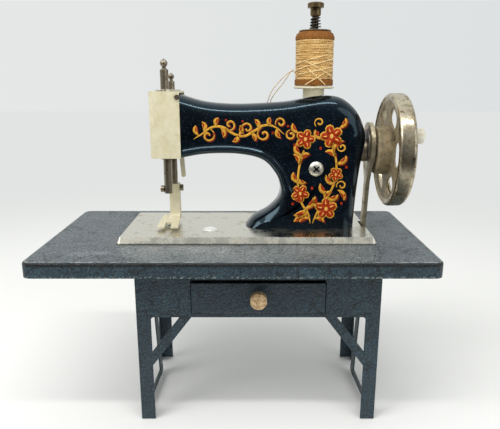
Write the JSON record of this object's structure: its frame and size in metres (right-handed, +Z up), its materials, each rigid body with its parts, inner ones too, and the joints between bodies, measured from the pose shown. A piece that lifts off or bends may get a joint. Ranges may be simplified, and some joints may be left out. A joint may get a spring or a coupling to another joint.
{
  "type": "toy sewing machine on table",
  "caption": "Toy sewing machine with a moulded head, eccentric and rod drive, cupped handwheel and top spool, on a pressed-steel table with braced legs and a drawer.",
  "frame": {"origin": "on the floor under the middle of the table top", "axes": "+Z up, the front with the drawer faces -Y, the handwheel is towards +X"},
  "size_m": [0.252, 0.131, 0.2748],
  "materials": {
    "table_paint": "dark slate crackle paint, worn at the edges",
    "body_enamel": "gloss navy-black enamel with painted gold and red flowers",
    "cream_paint": "satin cream paint",
    "nickel": "worn warm nickel plate",
    "steel": "plain steel",
    "dark_steel": "aged dark steel",
    "spool_wood": "turned wood, matt",
    "knob_wood": "turned light wood, satin",
    "thread": "tan cotton thread",
    "ivory": "ivory plastic"
  },
  "bodies": {
    "frame": {"table_top": "table_paint", "front_leg_panel": "table_paint", "rear_leg_panel": "table_paint", "left_end_panel": "table_paint", "right_end_panel": "table_paint", "drawer_runners": "table_paint", "base_plate": "nickel", "plate_rivet": "nickel", "body_front_shell": "body_enamel", "body_rear_shell": "body_enamel", "body_screw": "nickel", "body_nut": "nickel", "pivot_sleeve": "steel", "column_bracket": "steel", "bracket_screws": "steel", "bracket_nuts": "steel", "bar_bracket": "dark_steel", "face_cover": "cream_paint", "face_cover_rivets": "dark_steel", "bar_guide_plate": "nickel", "presser_spring": "steel", "shaft_bush": "dark_steel", "spool_stand": "cream_paint", "spool_seat": "nickel", "spool_pin": "dark_steel", "spool_pin_nut": "steel", "tension_washer": "dark_steel", "tension_spring": "dark_steel", "thread_loop": "thread", "lever_bracket": "steel", "lever_pin": "steel"},
    "drawer": {"drawer_tray": "table_paint", "drawer_front": "table_paint", "drawer_knob": "knob_wood", "drawer_knob_screw": "steel"},
    "wheel": {"main_shaft": "steel", "crank_disc": "steel", "eccentric": "steel", "wheel_hub": "dark_steel", "handwheel": "nickel", "wheel_nut": "steel", "crank_knob_pin": "dark_steel"},
    "rod": {"connecting_rod": "nickel"},
    "crank_handle": {"crank_knob": "ivory"},
    "rocker": {"needle_lever": "steel"},
    "needle": {"needle_bar": "dark_steel", "needle_clamp_screw": "dark_steel", "needle_bar_collar": "steel"},
    "lifter": {"lifter_cam": "steel", "lifter_lever": "cream_paint"},
    "presser": {"presser_bar": "dark_steel", "presser_collar": "steel", "presser_foot": "cream_paint", "foot_screw": "dark_steel"},
    "reel": {"spool": "spool_wood", "thread_core": "thread", "thread_winding": "thread"},
    "tension_nut": {"thumb_nut": "dark_steel"},
    "looper": {"looper_lever": "steel", "looper_hook": "nickel"}
  },
  "joints": [
    {"name": "drawer_slide", "type": "slide", "parent": "frame", "child": "drawer", "axis": [0, -1, 0], "range_m": [0, 0.055]},
    {"name": "wheel_turn", "type": "hinge", "parent": "frame", "child": "wheel", "pos_m": [0.1, 0.0065, 0.1785], "axis": [1, 0, 0], "continuous": true},
    {"name": "rod_strap", "type": "hinge", "parent": "wheel", "child": "rod", "pos_m": [0.0926, 0.0065, 0.182], "axis": [1, 0, 0], "continuous": true},
    {"name": "crank_knob_turn", "type": "hinge", "parent": "wheel", "child": "crank_handle", "pos_m": [0.1155, -0.0119, 0.19], "axis": [1, 0, 0], "continuous": true},
    {"name": "lever_rock", "type": "hinge", "parent": "frame", "child": "rocker", "pos_m": [0.05496, 0.0065, 0.1675], "axis": [0, 1, 0], "range_deg": [-5, 5]},
    {"name": "needle_stroke", "type": "slide", "parent": "frame", "child": "needle", "axis": [0, 0, 1], "range_m": [-0.009, 0.009]},
    {"name": "lifter_swing", "type": "hinge", "parent": "frame", "child": "lifter", "pos_m": [-0.04, 0.0206, 0.183], "axis": [0, -1, 0], "range_deg": [0, 80]},
    {"name": "presser_lift", "type": "slide", "parent": "frame", "child": "presser", "axis": [0, 0, 1], "range_m": [0, 0.0045], "deforming": ["presser_spring"]},
    {"name": "spool_turn", "type": "hinge", "parent": "frame", "child": "reel", "pos_m": [0.0532, 0.0065, 0.239], "axis": [0, 0, 1], "continuous": true},
    {"name": "thumb_nut_turn", "type": "hinge", "parent": "frame", "child": "tension_nut", "pos_m": [0.0532, 0.0065, 0.27], "axis": [0, 0, 1], "continuous": true},
    {"name": "looper_rock", "type": "hinge", "parent": "frame", "child": "looper", "pos_m": [0.024, 0.0065, 0.11], "axis": [0, 1, 0], "range_deg": [0, 6]}
  ],
  "couplings": [
    {"joint": "rod_strap", "follows": "wheel_turn", "ratio": -1},
    {"joint": "needle_stroke", "follows": "lever_rock", "m_per_rad": 0.10166},
    {"joint": "presser_lift", "follows": "lifter_swing", "m_per_rad": 0.0031512}
  ]
}
